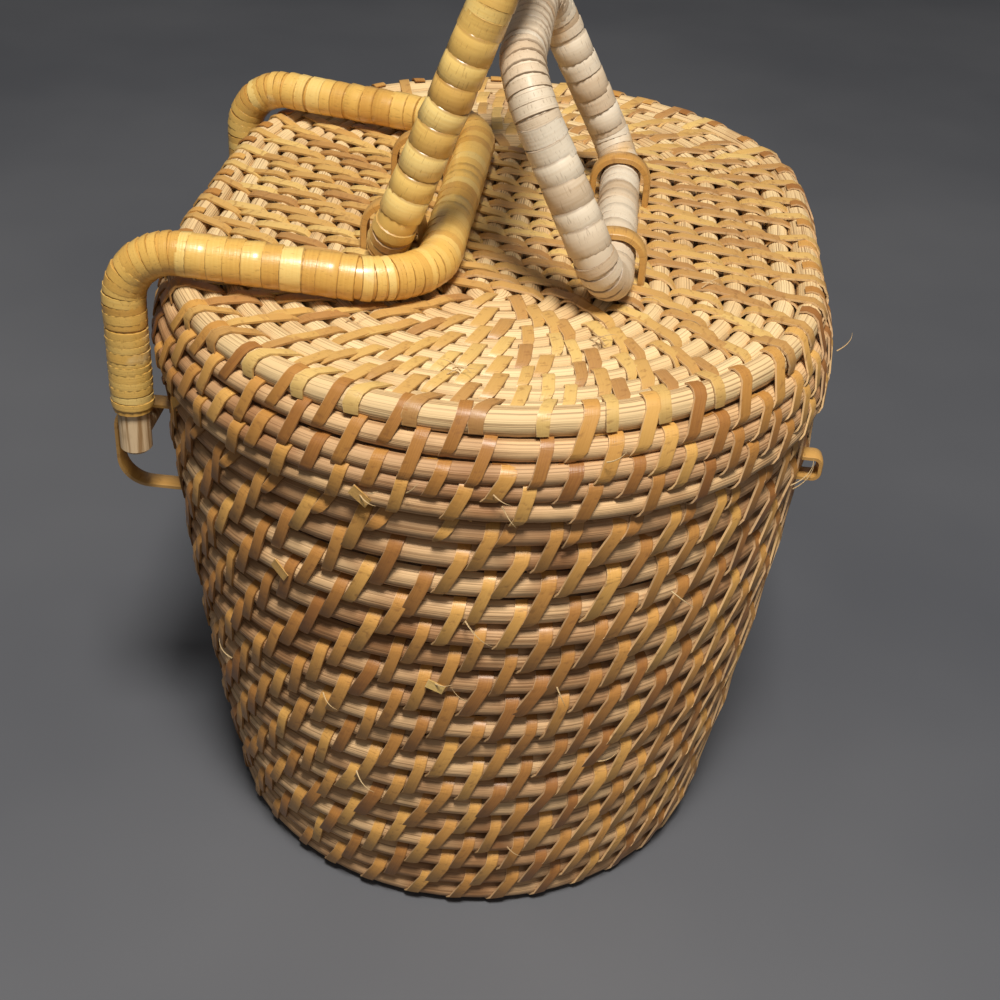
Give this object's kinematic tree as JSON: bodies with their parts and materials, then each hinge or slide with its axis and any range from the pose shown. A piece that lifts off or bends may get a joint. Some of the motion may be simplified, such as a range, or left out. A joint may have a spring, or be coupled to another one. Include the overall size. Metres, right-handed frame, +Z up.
{
  "type": "lidded wicker basket",
  "caption": "Oval rattan basket with a slip-over lid, a wrapped hasp bail hooked over the lid from one side and two wrapped ring handles that lean on each other.",
  "frame": {"origin": "middle of the flat base, on the surface that the basket stands on", "axes": "+Z up, +Y along the oval from the near end to the far end, +X across it, with the hasp bail on the -X side"},
  "size_m": [0.1949, 0.2464, 0.2669],
  "materials": {
    "body_rattan": "matte",
    "lid_rattan": "matte",
    "loop_cane": "satin",
    "golden_wrap": "satin",
    "pale_wrap": "matte",
    "bare_pole": "matte"
  },
  "bodies": {
    "basket": {"basket_body": "body_rattan", "side_loop_left_near": "loop_cane", "side_loop_left_far": "loop_cane", "side_loop_right_near": "loop_cane", "side_loop_right_far": "loop_cane"},
    "lid": {"lid": "lid_rattan", "bail": "golden_wrap", "bail_end_near": "bare_pole", "bail_end_far": "bare_pole", "ring_loop_left_near": "loop_cane", "ring_loop_left_far": "loop_cane", "ring_loop_right_near": "loop_cane", "ring_loop_right_far": "loop_cane"},
    "left_ring": {"left_ring": "golden_wrap"},
    "right_ring": {"right_ring": "pale_wrap"}
  },
  "joints": [
    {"name": "lid_open", "type": "hinge", "parent": "basket", "child": "lid", "pos_m": [-0.09308, -0.001, 0.1281], "axis": [0, -1, 0], "range_deg": [0, 115]},
    {"name": "left_ring_swing", "type": "hinge", "parent": "lid", "child": "left_ring", "pos_m": [-0.0285, -0.006, 0.18065], "axis": [0, -1, 0], "range_deg": [0, 108]},
    {"name": "right_ring_swing", "type": "hinge", "parent": "lid", "child": "right_ring", "pos_m": [0.031, -0.0145, 0.18065], "axis": [0, 1, 0], "range_deg": [0, 115]}
  ]
}
